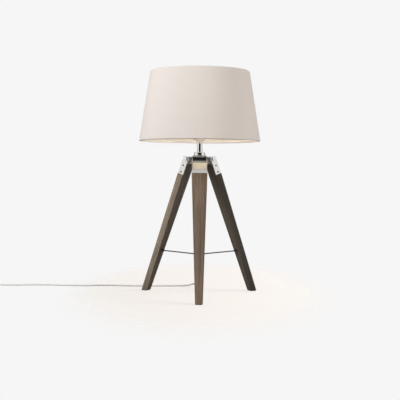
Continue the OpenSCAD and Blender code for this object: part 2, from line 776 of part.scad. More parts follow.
module cord_run() {
    color("#e4e2de") on_axis() tube(smooth_path(CORD_POINTS, 2), cord_r, 8);
}
module cord_coil() {
    color("#e4e2de") on_axis() tube(COIL_PATH, cord_r, 6);
}
module cord_tail() {
    color("#e4e2de") on_axis() tube(smooth_path(TAIL_POINTS, 3), cord_r, 8);
}
module cord_tie() {
    near = coil_r - 0.5 * coil_pitch + cord_r + tie_gap;
    far = coil_r - 1.5 * coil_pitch - cord_r - tie_gap;
    top = coil_top_z + cord_r + tie_gap;
    color("#d9d6d0") on_axis() translate([coil_c[0] - tie_w / 2, coil_c[1], 0]) difference() {
        translate([0, -near - tie_t, 0]) cube([tie_w, near - far + 2 * tie_t, top + tie_t]);
        translate([-1, -near, tie_t]) cube([tie_w + 2, near - far, top - tie_t]);
    }
}
module plug_body() {
    front = plug_y - plug_len;
    side_x = plug_w / 2 - plug_corner_r;
    color("#e4e2de") on_axis() translate([tail_x, 0, plug_z]) difference() {
        union() {
            hull() for (s = [-1, 1]) {
                translate([s * side_x, front + plug_corner_r, 0]) plug_corner();
                translate([s * side_x, front + plug_len * 0.45, 0]) plug_corner();
                translate([s * plug_w * 0.2, plug_y - plug_corner_r, 0]) plug_corner();
            }
            translate([0, plug_y - 1, 0]) rotate([-90, 0, 0])
                cylinder(r1 = plug_neck_r, r2 = cord_r + plug_neck_wall, h = plug_neck + 1);
        }
        for (s = [-1, 1]) translate([s * plug_pitch / 2, front + plug_root, 0]) rotate([90, 0, 0])
            cylinder(r = plug_root_r + run_gap, h = plug_root + 1);
    }
}
module plug_corner() {
    cylinder(r = plug_corner_r, h = plug_h - 2 * edge, center = true, $fn = 32);
    cylinder(r = plug_corner_r - edge, h = plug_h, center = true, $fn = 32);
}
module plug_pins() {
    color("#c9c9c6") for (s = [-1, 1]) on_axis()
        translate([tail_x + s * plug_pitch / 2, plug_y - plug_len, plug_z]) rotate([90, 0, 0])
            rotate_extrude() polygon([
                [0, -plug_root], [plug_root_r, -plug_root], [plug_root_r, 0], [plug_pin_r, 0],
                [plug_pin_r, plug_pin_len - edge], [plug_pin_r - edge, plug_pin_len],
                [0, plug_pin_len]
            ]);
}

hub();
hub_collar();
neck_tube();
threaded_tube();
hub_washer();
hub_nut();
strain_relief();
holder_base();
switch_bar();
holder_body();
insulator();
screw_shell();
centre_contact();
shade_ring();
bulb_cap();
bulb_heat_sink();
bulb_globe();
shade_cover();
shade_lining();
shade_top_ring();
shade_bottom_ring();
shade_fitter();
for (i = [0 : 2]) {
    leg(i);
    bracket(i);
    bracket_screws(i);
    hinge_pin(i);
    foot_pad(i);
    clevis(i);
    rod_pin(i);
    rod(i);
}
spreader_plate();
spreader_screw();
cord_run();
cord_coil();
cord_tail();
cord_tie();
plug_body();
plug_pins();
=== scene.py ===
"""Tripod table lamp: finishes and soft pieces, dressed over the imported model.

Metres, +Z up, with the origin on the table. Every place is read from the model's own nodes.
"""

import math

import bmesh
import bpy
from mathutils import Matrix, Vector


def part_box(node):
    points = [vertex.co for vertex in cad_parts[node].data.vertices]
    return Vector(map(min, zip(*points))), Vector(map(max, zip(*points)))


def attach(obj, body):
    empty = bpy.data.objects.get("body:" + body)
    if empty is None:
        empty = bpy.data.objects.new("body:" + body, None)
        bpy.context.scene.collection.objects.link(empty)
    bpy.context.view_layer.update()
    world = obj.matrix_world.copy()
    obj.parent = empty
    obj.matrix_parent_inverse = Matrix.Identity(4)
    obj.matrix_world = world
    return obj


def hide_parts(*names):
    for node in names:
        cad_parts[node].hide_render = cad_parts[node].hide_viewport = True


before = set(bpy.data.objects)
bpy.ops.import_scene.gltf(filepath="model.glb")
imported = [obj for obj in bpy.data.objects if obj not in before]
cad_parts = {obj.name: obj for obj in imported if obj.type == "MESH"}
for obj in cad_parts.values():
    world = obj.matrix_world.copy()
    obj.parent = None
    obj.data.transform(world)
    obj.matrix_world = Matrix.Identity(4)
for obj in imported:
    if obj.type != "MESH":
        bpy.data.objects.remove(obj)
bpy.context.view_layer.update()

bl_info = {
    "name": "Tripod table lamp",
    "version": (1, 0, 0),
    "blender": (4, 5, 0),
    "location": "View3D > Sidebar > Lamp",
    "description": "Dresses a tripod table lamp with a fabric shade, washed wood legs and a lead",
    "category": "Object",
}

MM = 0.001
SIDES = ("front", "left", "right")
TURNS = (0.0, 240.0, 120.0)  # degrees round the lamp axis, one for each leg
CREASE = 35  # degrees between two faces, from which the edge between them stays sharp
WELD = 0.001 * MM  # points nearer to each other than this are one


def middle(node):
    """The middle of a node's box."""
    low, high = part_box(node)
    return (low + high) / 2


def widest(node, z, within=1.5 * MM):
    """The largest distance from the lamp axis that a node has near one height."""
    near = [v.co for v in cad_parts[node].data.vertices if abs(v.co.z - z) < within]
    return max(math.hypot(p.x - AXIS.x, p.y - AXIS.y) for p in near)


AXIS = middle("neck_tube")
SHADE_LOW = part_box("shade_cover")[0].z
SHADE_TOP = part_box("shade_cover")[1].z
SHADE_LOW_R = widest("shade_cover", SHADE_LOW)
SHADE_TOP_R = widest("shade_cover", SHADE_TOP)
SHADE_SLOPE = math.atan2(SHADE_LOW_R - SHADE_TOP_R, SHADE_TOP - SHADE_LOW)
SHADE_LENGTH = math.hypot(SHADE_LOW_R - SHADE_TOP_R, SHADE_TOP - SHADE_LOW)


# ---- Colours, nodes and materials ----

def linear(text):
    """An sRGB hex colour as linear red, green and blue."""
    parts = [int(text[i:i + 2], 16) / 255 for i in (1, 3, 5)]
    return tuple(c / 12.92 if c <= 0.04045 else ((c + 0.055) / 1.055) ** 2.4 for c in parts)


def add(tree, kind, inputs=None, **settings):
    """Adds a shader node. An input that is given a socket is linked, and any other is set."""
    node = tree.nodes.new(f"ShaderNode{kind}")
    for key, value in settings.items():
        setattr(node, key, value)
    for key, value in (inputs or {}).items():
        if isinstance(value, bpy.types.NodeSocket):
            tree.links.new(value, node.inputs[key])
        else:
            node.inputs[key].default_value = value
    return node


def blank(name):
    """A material with an empty node tree."""
    material = bpy.data.materials.new(name)
    material.use_nodes = True
    material.node_tree.nodes.clear()
    return material, material.node_tree


def surface(tree, **inputs):
    """Ends a material in the one shader that all of the lamp's finishes use."""
    names = {key: key.replace("_", " ").title() for key in inputs} | {"ior": "IOR"}
    shader = add(tree, "BsdfPrincipled", {names[key]: inputs[key] for key in inputs})
    add(tree, "OutputMaterial", {"Surface": shader.outputs["BSDF"]})


def where(tree):
    """The place of the point that is being shaded, in the frame of the model."""
    return add(tree, "TexCoord").outputs["Object"]


def scaled(tree, vector, sizes, start=(0, 0, 0)):
    """Stretches places, so that the features of a pattern get these sizes."""
    values = {"Vector": vector, "Location": start, "Scale": [1 / size for size in sizes]}
    return add(tree, "Mapping", values).outputs["Vector"]


def noise(tree, vector, scale=1.0, **inputs):
    """A cloud of values between 0 and 1."""
    values = {key.title(): value for key, value in inputs.items()}
    values |= {"Vector": vector, "Scale": scale}
    return add(tree, "TexNoise", values).outputs["Fac"]


def ranged(tree, value, low, high, start=0.0, end=1.0, **settings):
    """Turns a value that runs from start to end into one that runs from low to high."""
    values = {"Value": value, "From Min": start, "From Max": end, "To Min": low, "To Max": high}
    return add(tree, "MapRange", values, **settings).outputs["Result"]


def raised(tree, height, strength, distance):
    """The way that a surface faces when a height from 0 to 1 raises it by up to a distance."""
    values = {"Height": height, "Strength": strength, "Distance": distance}
    return add(tree, "Bump", values).outputs["Normal"]


def blend(tree, share, first, second):
    """A value between two others, nearer the second where the share is large."""
    return add(tree, "Mix", {0: share, 2: first, 3: second}, data_type="FLOAT").outputs[0]


def maths(tree, operation, *values):
    """One operation on one, two or three values."""
    return add(tree, "Math", dict(enumerate(values)), operation=operation).outputs[0]


def colours(tree, factor, stops):
    """A ramp through a few (place, colour) stops."""
    ramp = add(tree, "ValToRGB", {"Fac": factor})
    elements = ramp.color_ramp.elements
    while len(elements) < len(stops):
        elements.new(0.5)
    for element, (place, rgb) in zip(elements, stops):
        element.position = place
        element.color = (*rgb, 1)
    return ramp.outputs["Color"]


# Each leg is its own board with its own tone; the right leg's is halved as painted shade.
WOOD_TONES_AND_PAINTED_SHADE = ((1.1, 1.04, 1.02), (1.22, 1.29, 1.32), (0.52, 0.54, 0.52))


def board_place(i):
    """Where a leg board's own frame stands: Z along the board, Y through it, X across it."""
    hinge = middle(f"{SIDES[i]}_hinge_pin")
    foot = middle(f"{SIDES[i]}_foot_pad")
    turn = Matrix.Rotation(math.radians(TURNS[i]), 3, "Z")
    out = turn @ Vector((0, -1, 0))
    lean = math.atan2((foot - hinge).dot(out), hinge.z)
    return Matrix.Translation(hinge) @ (turn @ Matrix.Rotation(-lean, 3, "X")).to_4x4()


def washed_wood(i, light, dark):
    """Pine, grey-washed and matt lacquered: long pale streaks with dark open grain between.

    The wash fills the soft early wood and leaves the hard late wood brown, so the streaks run
    along the board, about 2 mm apart, and the surface has a low dull sheen.
    """
    material, tree = blank(f"{SIDES[i]}_grey_washed_pine")
    place = board_place(i)
    board = add(
        tree, "Mapping",
        {"Vector": where(tree), "Location": place.translation, "Rotation": place.to_euler()},
        vector_type="TEXTURE",
    ).outputs["Vector"]

    def grain(width, length, start=(0, 0, 0), **inputs):
        """Noise whose features have a width and a length along the board."""
        return noise(tree, scaled(tree, board, (width, width, length), start), **inputs)

    streaks = grain(
        2.2 * MM, 140 * MM, (0.37 * i, 0.11 * i, 0.53 * i),
        detail=5.0, roughness=0.62, distortion=0.35,
    )
    rings = grain(11 * MM, 260 * MM, (1.7 * i, 0.2, 0.9 * i), distortion=0.8)
    pores = grain(0.7 * MM, 22 * MM, roughness=0.7)
    mixed = blend(tree, 0.22, blend(tree, 0.42, streaks, rings), pores)
    tone = tuple(0.5 * (a + b) for a, b in zip(light, dark))
    base = colours(tree, mixed, [(0.36, dark), (0.47, tone), (0.56, light), (0.70, tone)])
    surface(
        tree, base_color=base, roughness=ranged(tree, streaks, 0.66, 0.5),
        normal=raised(tree, mixed, 0.35, 0.5 * MM), sheen_weight=0.05,
    )
    return material


def metal(name, rgb, roughness, spread=0.03, brush=(9 * MM, 9 * MM, 9 * MM), bump=0.0):
    """A bare or plated metal: the roughness drifts a little, and brushing runs along one axis."""
    material, tree = blank(name)
    cloud = noise(tree, scaled(tree, where(tree), brush), detail=4.0)
    rough = ranged(tree, cloud, max(roughness - spread, 0.02), roughness + spread, 0.3, 0.7)
    shade = tuple(0.93 * c for c in rgb)
    base = colours(tree, cloud, [(0.35, shade), (0.6, rgb)])
    brushed = {"normal": raised(tree, cloud, bump, 0.1 * MM)} if bump else {}
    surface(tree, base_color=base, metallic=1.0, roughness=rough, **brushed)
    return material


def moulded(name, rgb, roughness, grain=0.6 * MM, bump=0.05, ior=1.46, drift=0.05, **more):
    """A moulded or fired piece: one even colour with a faint cloud and a very fine skin.

    The drift is how far the colour and the roughness wander within the cloud.
    """
    material, tree = blank(name)
    place = where(tree)
    cloud_size = 14 * MM
    cloud = noise(tree, place, 1 / cloud_size)
    deeper = tuple((1 - drift) * c for c in rgb)
    surface(
        tree, base_color=colours(tree, cloud, [(0.38, deeper), (0.6, rgb)]),
        roughness=ranged(tree, cloud, roughness + drift, max(roughness - drift, 0.02)),
        normal=raised(tree, noise(tree, place, 1 / grain), bump, 0.1 * MM), ior=ior, **more,
    )
    return material


def woven(name, rgb, thread, slub, sheen):
    """Plain-woven cloth: two sets of threads at right angles, some of them thicker.

    The threads are drawn about twice as coarse as real ones, so that the weave still shows.
    """
    material, tree = blank(name)
    place = add(tree, "UVMap", uv_map="cloth").outputs["UV"]
    parts = add(tree, "SeparateXYZ", {"Vector": place}).outputs
    waves = [
        maths(tree, "SINE", maths(tree, "MULTIPLY", parts[axis], math.pi / thread))
        for axis in ("X", "Y")
    ]
    weave = maths(tree, "MULTIPLY", *waves)
    slub_length = 28 * slub
    threads = [
        noise(tree, scaled(tree, place, sizes))
        for sizes in ((slub, slub_length, 1), (slub_length, slub, 1))
    ]
    slubs = blend(tree, 0.5, *threads)
    deeper = tuple(0.965 * c for c in rgb)
    lighter = tuple(min(1.01 * c, 1) for c in rgb)
    height = maths(tree, "MULTIPLY_ADD", weave, 0.25, slubs)
    surface(
        tree, base_color=colours(tree, slubs, [(0.38, deeper), (0.5, rgb), (0.64, lighter)]),
        roughness=0.85, normal=raised(tree, height, 0.22, 0.25 * MM), sheen_weight=sheen,
        sheen_roughness=0.5,
    )
    return material


# ---- Mesh tools ----

def placed(name, data):
    """A new object in the scene, with a mesh, a curve, a camera or a lamp in it."""
    obj = bpy.data.objects.new(name, data)
    bpy.context.scene.collection.objects.link(obj)
    return obj


def mesh_of(name, points, faces, material=None):
    """A mesh of points and faces."""
    mesh = bpy.data.meshes.new(name)
    mesh.from_pydata([tuple(p) for p in points], [], faces)
    if material:
        mesh.materials.append(material)
    return mesh


def piece(name, points, faces, material, body):
    """A smooth mesh object that rides on a body of the model."""
    mesh = mesh_of(name, points, faces, material)
    mesh.validate()
    mesh.shade_smooth()
    obj = placed(name, mesh)
    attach(obj, body)
    return obj


def crease(obj, degrees=CREASE):
    """Keeps the edges sharp where two faces meet at more than an angle."""
    obj.data.set_sharp_from_angle(angle=math.radians(degrees))


def carry_out(obj):
    """Carries out the modifiers of an object on its mesh."""
    bpy.context.view_layer.update()
    whole = obj.evaluated_get(bpy.context.evaluated_depsgraph_get())
    mesh = bpy.data.meshes.new_from_object(whole)
    obj.modifiers.clear()
    obj.data = mesh


def round_edges(obj, width, segments, limit, degrees=CREASE):
    """Rounds a piece's edges, either by their weight or where they are sharper than an angle."""
    rounding = obj.modifiers.new("rounded edges", "BEVEL")
    rounding.width = width
    rounding.segments = segments
    rounding.limit_method = limit
    rounding.angle_limit = math.radians(degrees)
    carry_out(obj)
    crease(obj, degrees)


def grid_faces(rows, columns, close_rows=False, close_columns=True):
    """Four-sided faces between neighbouring rows of points."""
    faces = []
    for row in range(rows if close_rows else rows - 1):
        here = row * columns
        there = (row + 1) % rows * columns
        for column in range(columns if close_columns else columns - 1):
            beside = (column + 1) % columns
            faces.append((here + column, here + beside, there + beside, there + column))
    return faces


def caps(rows, columns):
    """The two faces that close a tube of rows of points at its ends."""
    return [tuple(reversed(range(columns))), tuple(range((rows - 1) * columns, rows * columns))]


def turns(count):
    """Evenly spread angles of a full turn."""
    return [math.tau * k / count for k in range(count)]


def around(radius, angle, height):
    """A point at a distance from the lamp axis, turned by an angle from the front."""
    return (AXIS.x + radius * math.sin(angle), AXIS.y - radius * math.cos(angle), height)


def lathe(name, profile, material, body, steps=96, closed=False):
    """Turns a profile of (radius, height) points round the lamp axis.

    A closed profile is a ring's section. An open one begins and ends on the axis.
    """
    points = [around(radius, angle, z) for radius, z in profile for angle in turns(steps)]
    faces = grid_faces(len(profile), steps, close_rows=closed)
    if not closed:
        faces += caps(len(profile), steps)
    obj = piece(name, points, faces, material, body)
    crease(obj)
    return obj


def add_cloth_uv(obj, steps, profile):
    """Lays the cloth's own lengths on a turned piece: round it one way, along it the other."""
    mean = sum(radius for radius, height in profile) / len(profile)
    travelled = [0.0]
    for (r0, z0), (r1, z1) in zip(profile, profile[1:] + profile[:1]):
        travelled.append(travelled[-1] + math.hypot(r1 - r0, z1 - z0))
    uvs = obj.data.uv_layers.new(name="cloth")
    for polygon in obj.data.polygons:
        places = [divmod(vertex, steps) for vertex in polygon.vertices]
        rows, columns = zip(*places)
        for k, (row, column) in zip(polygon.loop_indices, places):
            if row == 0 and max(rows) > 1:
                row = len(profile)
            if column == 0 and max(columns) > 1:
                column = steps
            uvs.data[k].uv = (math.tau * column / steps * mean, travelled[row])


def rounded(w, h, power, count):
    """Points round a soft-cornered section of width w and height h, as (x, z)."""
    def soft(size, share):
        return size / 2 * math.copysign(abs(share) ** (2 / power), share)

    return [(soft(w, math.cos(angle)), soft(h, math.sin(angle))) for angle in turns(count)]


def arc(centre, radius, start, end, steps):
    """Points of an arc from one angle to another, in degrees."""
    angles = [math.radians(start + (end - start) * k / steps) for k in range(steps + 1)]
    return [(centre[0] + radius * math.cos(a), centre[1] + radius * math.sin(a)) for a in angles]


def dress(nodes, material):
    """Gives the named nodes of the model their material."""
    for name in nodes:
        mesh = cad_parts[name].data
        mesh.materials.clear()
        mesh.materials.append(material)


def softened(name, node, body, material, width, fully=None):
    """A copy of a node's solid with rounded edges. A test can pick the fully rounded ones."""
    obj = piece(name, [(0, 0, 0)], [], material, body)
    made = bmesh.new()
    made.from_mesh(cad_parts[node].data)
    bmesh.ops.remove_doubles(made, verts=made.verts, dist=WELD)
    bmesh.ops.dissolve_limit(
        made, angle_limit=math.radians(0.5), verts=made.verts, edges=made.edges,
    )
    slightly = 0.3 if fully else 1.0
    share = made.edges.layers.float.new("bevel_weight_edge")
    for edge in made.edges:
        if len(edge.link_faces) == 2 and edge.calc_face_angle() > math.radians(CREASE):
            edge[share] = 1.0 if fully and fully(edge) else slightly
    made.to_mesh(obj.data)
    made.free()
    obj.data.shade_smooth()
    round_edges(obj, width, 3, "WEIGHT")
    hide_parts(node)


# ---- Sizes and colours that a user would change ----

def length(name, about, default, low, high):
    """A size that a user may change between a lowest and a highest value."""
    return bpy.props.FloatProperty(
        name=name, description=about, default=default, min=low, max=high, unit="LENGTH",
        subtype="DISTANCE")


def colour(name, about, text):
    """A colour that a user may change."""
    return bpy.props.FloatVectorProperty(
        name=name, description=about, subtype="COLOR", size=3, min=0, max=1,
        default=linear(text))


class LampSizes(bpy.types.PropertyGroup):
    """Sizes of the dressed pieces."""
    lead_length: length(
        "Lead length", "From the strain relief to the plug", 1.84, 1.5, 2.2)
    lead_diameter: length(
        "Lead diameter", "Outside diameter of the lead's sheath", 5 * MM, 4 * MM, 7 * MM)
    thread: length(
        "Thread spacing", "Distance between the threads of the shade's cloth",
        0.9 * MM, 0.3 * MM, 2 * MM)
    hem_depth: length(
        "Hem depth", "How far the cloth is turned in over the lining", 7 * MM, 6 * MM, 15 * MM)
    seam_width: length(
        "Seam width", "Overlap of the cloth at the back of the shade", 11 * MM, 6 * MM, 16 * MM)


class LampColours(bpy.types.PropertyGroup):
    """Colours of the finishes."""
    wood_light: colour("Wood, washed", "The pale streaks of the washed pine", "#8b7b6b")
    wood_dark: colour("Wood, grain", "The dark grain between the streaks", "#51453a")
    shade: colour("Shade", "The shade's cotton cover", "#e6dfda")
    lining: colour("Lining", "The lining inside the shade", "#efe8d8")
    holder: colour("Lampholder", "The moulded lampholder", "#d8cfc4")
    lead: colour("Lead", "The lead, its strain relief and its plug", "#eeece8")
    floor: colour("Floor", "The pale table top under the lamp", "#f8f3ee")
    backdrop: colour("Backdrop", "The pale background", "#f6f6f6")


# ---- Stage ----

CAMERA_PLACE = Vector((0.0, -2.449, 0.355))
CAMERA_PITCH = -0.0323
CAMERA_YAW = -0.0007
CAMERA_ROLL = 0.0055
CAMERA_LENS = 76.4  # mm, on a sensor 36 mm wide
MODEL_HEART = Vector((0, 0, 0.36))  # where the area lamps point


def lit_by(lamp, *objects, state="INCLUDE"):
    """Adds pieces to the only ones a lamp lights, or by EXCLUDE to those it leaves out."""
    name = f"{lamp}_receivers"
    group = bpy.data.collections.get(name) or bpy.data.collections.new(name)
    for obj in objects:
        group.objects.link(obj)
        group.collection_objects[-1].light_linking.link_state = state
    return group


def area_light(name, place, size, power, tint="#ffffff", linked=True):
    """A soft square lamp that looks at the model. Mirrors show the studio instead of it."""
    data = bpy.data.lights.new(name, "AREA")
    data.shape = "SQUARE"
    data.size = size
    data.energy = power
    data.color = linear(tint)
    obj = placed(name, data)
    obj.location = place
    obj.rotation_euler = (Vector(place) - MODEL_HEART).to_track_quat("Z", "Y").to_euler()
    obj.visible_glossy = False
    if linked:
        obj.light_linking.receiver_collection = lit_by(name)


def make_glow():
    """Daylight that a thin shade lets through, as a ring of weak lamps inside it."""
    height = SHADE_LOW + 0.05
    away = 0.03
    count = 24
    for k in range(count):
        data = bpy.data.lights.new(f"glow_{k + 1}", "POINT")
        data.energy = 0.032
        data.shadow_soft_size = 0.02
        data.color = linear("#fff8f0")
        obj = placed(data.name, data)
        obj.location = around(away, math.tau * (k + 0.5) / count + math.pi / 2, height)
        obj.visible_camera = False
        obj.visible_glossy = False
        obj.light_linking.receiver_collection = lit_by("glow")


def make_camera(context):
    """The camera, fitted to the edges of the lamp."""
    data = bpy.data.cameras.new("camera")
    data.lens = CAMERA_LENS
    data.sensor_width = 36
    data.clip_end = 50
    camera = placed("camera", data)
    ahead = Matrix.Rotation(math.pi / 2 + CAMERA_PITCH, 3, "X")
    turned = Matrix.Rotation(CAMERA_YAW, 3, "Z") @ ahead @ Matrix.Rotation(CAMERA_ROLL, 3, "Z")
    camera.matrix_world = Matrix.Translation(CAMERA_PLACE) @ turned.to_4x4()
    context.scene.camera = camera


def make_backdrop(context):
    """A pale backdrop with weak light of its own, and a room that only mirrors see."""
    context.scene.view_settings.view_transform = "Standard"
    world = bpy.data.worlds.new("studio")
    context.scene.world = world
    world.use_nodes = True
    tree = world.node_tree
    tree.nodes.clear()
    path = add(tree, "LightPath").outputs
    seen = path["Is Camera Ray"]
    for ray in ("Is Glossy Ray", "Is Transmission Ray"):
        seen = maths(tree, "MAXIMUM", seen, path[ray])
    pale = (*context.scene.lamp_colours.backdrop, 1)
    light = add(tree, "Background", {"Color": (1, 1, 1, 1), "Strength": 0.2})
    # Mirrors see the studio's pale walls, the dim gaps beside the backdrop and a dim ceiling.
    along = add(tree, "TexCoord").outputs["Generated"]
    way = add(tree, "SeparateXYZ", {"Vector": along}).outputs
    ceiling = ranged(tree, way["Z"], 1.0, 0.66, 0.3, 0.62)
    wall = (1, 1, 1)
    gap = (0.12, 0.12, 0.12)
    gaps = colours(tree, way["Y"], [(0.30, wall), (0.42, gap), (0.76, gap), (0.88, wall)])
    room = maths(tree, "MULTIPLY", ceiling, gaps)
    level = blend(tree, path["Is Glossy Ray"], 1.0, room)
    shown = add(tree, "Background", {"Color": pale, "Strength": level})
    mixed = add(tree, "MixShader", {0: seen, 1: light.outputs[0], 2: shown.outputs[0]})
    add(tree, "OutputWorld", {"Surface": mixed.outputs[0]})


def make_table(context):
    """A white matt table top that fades into the background, and is clear from below."""
    material, tree = blank("white_matt_laminate")
    place = where(tree)
    pool = scaled(tree, place, (0.46, 0.92, 1.0), (0.0, -0.15, 0.0))
    away = add(tree, "VectorMath", {0: pool}, operation="LENGTH").outputs["Value"]
    fade = ranged(tree, away, 0.0, 1.0, 0.45, interpolation_type="SMOOTHERSTEP")
    under = add(tree, "NewGeometry").outputs["Backfacing"]
    hidden = maths(tree, "MAXIMUM", fade, under)
    normal = raised(tree, noise(tree, place, 1 / (2 * MM)), 0.03, 0.1 * MM)
    top = (*context.scene.lamp_colours.floor, 1)
    dull = (*(0.45 * c for c in top[:3]), 1)
    matt = add(tree, "BsdfDiffuse", {"Color": dull, "Normal": normal}).outputs[0]
    seen = add(tree, "LightPath").outputs["Is Camera Ray"]
    own_light = 0.755
    lift = maths(tree, "MULTIPLY", seen, own_light)
    pale = add(tree, "Emission", {"Color": top, "Strength": lift}).outputs[0]
    lifted = add(tree, "AddShader", {0: matt, 1: pale}).outputs[0]
    gone = add(tree, "BsdfTransparent").outputs[0]
    mixed = add(tree, "MixShader", {0: hidden, 1: lifted, 2: gone}).outputs[0]
    add(tree, "OutputMaterial", {"Surface": mixed})
    corners = 64
    reach = 1.44
    rim = [(reach * math.cos(a), reach * math.sin(a), 0) for a in turns(corners)]
    mesh = mesh_of("table_top", rim, [tuple(range(corners))], material)
    top_piece = placed("table_top", mesh)
    return top_piece


def make_dark_card():
    """A black card behind the camera, which only reflections see, as a studio has it."""
    material, tree = blank("black_card")
    black = add(tree, "BsdfDiffuse", {"Color": (0.03, 0.028, 0.025, 1)})
    add(tree, "OutputMaterial", {"Surface": black.outputs[0]})
    half = 2.4
    high = 1.5
    back = CAMERA_PLACE.y - 0.3
    corners = [(-half, back, 0), (half, back, 0), (half, back, high), (-half, back, high)]
    card = placed("black_card", mesh_of("black_card", corners, [(0, 1, 2, 3)], material))
    for ray in ("camera", "diffuse", "transmission", "shadow"):
        setattr(card, f"visible_{ray}", False)


class LAMP_OT_stage(bpy.types.Operator):
    """Makes the camera, the lights, the pale background and the table top"""
    bl_idname = "lamp.stage"
    bl_label = "Stage"

    def execute(self, context):
        make_camera(context)
        make_backdrop(context)
        table_top = make_table(context)
        make_dark_card()
        area_light("key_light", (-2.3, -1.4, 2.0), 1.3, 87, "#fffdfa")
        area_light("back_light", (1.0, 2.2, 1.5), 1.8, 11, linked=False)
        area_light("table_light", (2.3, -0.2, 1.5), 1.8, 44)
        area_light("under_light", (0.0, -1.6, -0.6), 3.0, 45, "#fffaf4")
        area_light("fill_light", (2.5, -1.5, 0.7), 2.0, 52, "#fff8f0")
        make_glow()
        lit_by("key_light", table_top, state="EXCLUDE")
        lit_by("table_light", table_top)
        return {"FINISHED"}


# ---- Lead ----

# The lead's route from the strain relief to the coil, given in mm from the lamp axis.
LEAD_ROUTE = [MM * Vector(point) for point in (
    (0, 0, 346), (0, 0, 334), (0, 2, 312), (0, 6, 275), (-1, 13, 235), (-2, 21, 195),
    (-3, 28, 158), (-4, 35, 124), (-5, 46, 92), (-6, 63, 62), (-7, 86, 38), (-9, 113, 23),
    (-12, 140, 15), (-18, 162, 10), (-28, 174, 5.5), (-44, 178, 2.8), (-66, 178, 2.5),
    (-95, 176, 2.5), (-130, 175, 2.5), (-165, 173, 2.5), (-200, 172, 2.5), (-232, 174, 2.5),
    (-264, 180, 2.5), (-298, 181, 2.5), (-330, 174, 2.5), (-360, 171, 2.5), (-400, 174, 2.5),
    (-445, 181, 2.5), (-490, 184, 2.5), (-535, 181, 2.5), (-575, 177, 2.5), (-612, 176, 2.7),
    (-640, 176, 3.3), (-663, 176, 3.3),
)]
COIL_MIDDLE = (-0.668, 0.143)
COIL_R = 0.033
COIL_PITCH = 0.0055
COIL_TURNS = 4.25
COIL_HALF = 2
COIL_LOW = 0.0033
COIL_STEPS = 24


def smooth_line(points, steps):
    """A smooth line through a list of points, each stretch cut into a few steps."""
    line = []
    last = len(points) - 1
    for i in range(last):
        a, b, c, d = (points[min(max(k, 0), last)] for k in range(i - 1, i + 3))
        for step in range(steps):
            t = step / steps
            line.append(0.5 * (
                2 * b + (c - a) * t + (2 * a - 5 * b + 4 * c - d) * t ** 2
                + (3 * b - a - 3 * c + d) * t ** 3
            ))
    return line + [points[-1]]


def coil_point(wound):
    """A point of the coil, which winds in on the table, climbs, and winds out on top."""
    radius = COIL_R - COIL_PITCH * (COIL_HALF - abs(wound - COIL_HALF))
    angle = math.radians(90 + 360 * wound)
    climb = min(max((wound - COIL_HALF + 0.25) * 2, 0), 1)
    return Vector((
        COIL_MIDDLE[0] + radius * math.cos(angle), COIL_MIDDLE[1] + radius * math.sin(angle),
        COIL_LOW + COIL_PITCH * climb * climb * (3 - 2 * climb),
    ))


def make_lead(material, diameter):
    """The whole lead: down from the hub, along the table, coiled, and out to the plug."""
    neck = middle("plug_body")
    neck.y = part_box("plug_body")[1].y - AXIS.y
    curve = bpy.data.curves.new("lead", "CURVE")
    curve.dimensions = "3D"
    curve.bevel_depth = diameter / 2
    curve.bevel_resolution = 6
    curve.use_fill_caps = True
    coil = [coil_point(k / COIL_STEPS) for k in range(int(COIL_TURNS * COIL_STEPS) + 1)]
    end = coil[-1]
    tail = [end, end - Vector((0, 0.009, 0)), neck + Vector((0, 0.004, 0)), neck]
    line = smooth_line(LEAD_ROUTE, 4) + coil + smooth_line(tail, 5)[1:]
    spline = curve.splines.new("POLY")
    spline.points.add(len(line) - 1)
    for point, place in zip(spline.points, line):
        point.co = (place.x, place.y + AXIS.y, place.z, 1)
    spline.use_smooth = True
    curve.materials.append(material)
    obj = placed("lead", curve)
    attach(obj, "lamp_head")
    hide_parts("cord_run", "cord_coil", "cord_tail")
    return obj


def make_relief(material, diameter):
    """A tapered sleeve whose rings let it bend with the lead."""
    low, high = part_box("strain_relief")
    flange_r = (high.x - low.x) / 2
    flange_low = high.z - 3 * MM
    top_r = flange_r - 2 * MM
    end_r = diameter / 2 + 0.9 * MM
    rings = 9
    spacing = (flange_low - low.z) / (rings + 0.4)
    groove = 0.55 * MM
    side = 0.25 * MM
    soft = 0.5 * MM
    profile = [(0, low.z), (end_r - 0.4 * MM, low.z), (end_r, low.z + 0.4 * MM)]
    for k in range(rings):
        z0 = low.z + spacing * (k + 0.45)
        z1 = low.z + spacing * (k + 0.85)
        r = end_r + (top_r - end_r) * (k + 0.6) / rings
        profile += [(r, z0), (r - groove, z0 + side), (r - groove, z1 - side), (r, z1)]
    profile += [
        (top_r, flange_low - 0.2 * MM), (flange_r - soft, flange_low),
        (flange_r, flange_low + soft), (flange_r, high.z - soft), (flange_r - soft, high.z),
        (0, high.z),
    ]
    obj = lathe("strain_relief_sleeve", profile, material, "lamp_head", steps=48)
    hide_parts("strain_relief")
    return obj


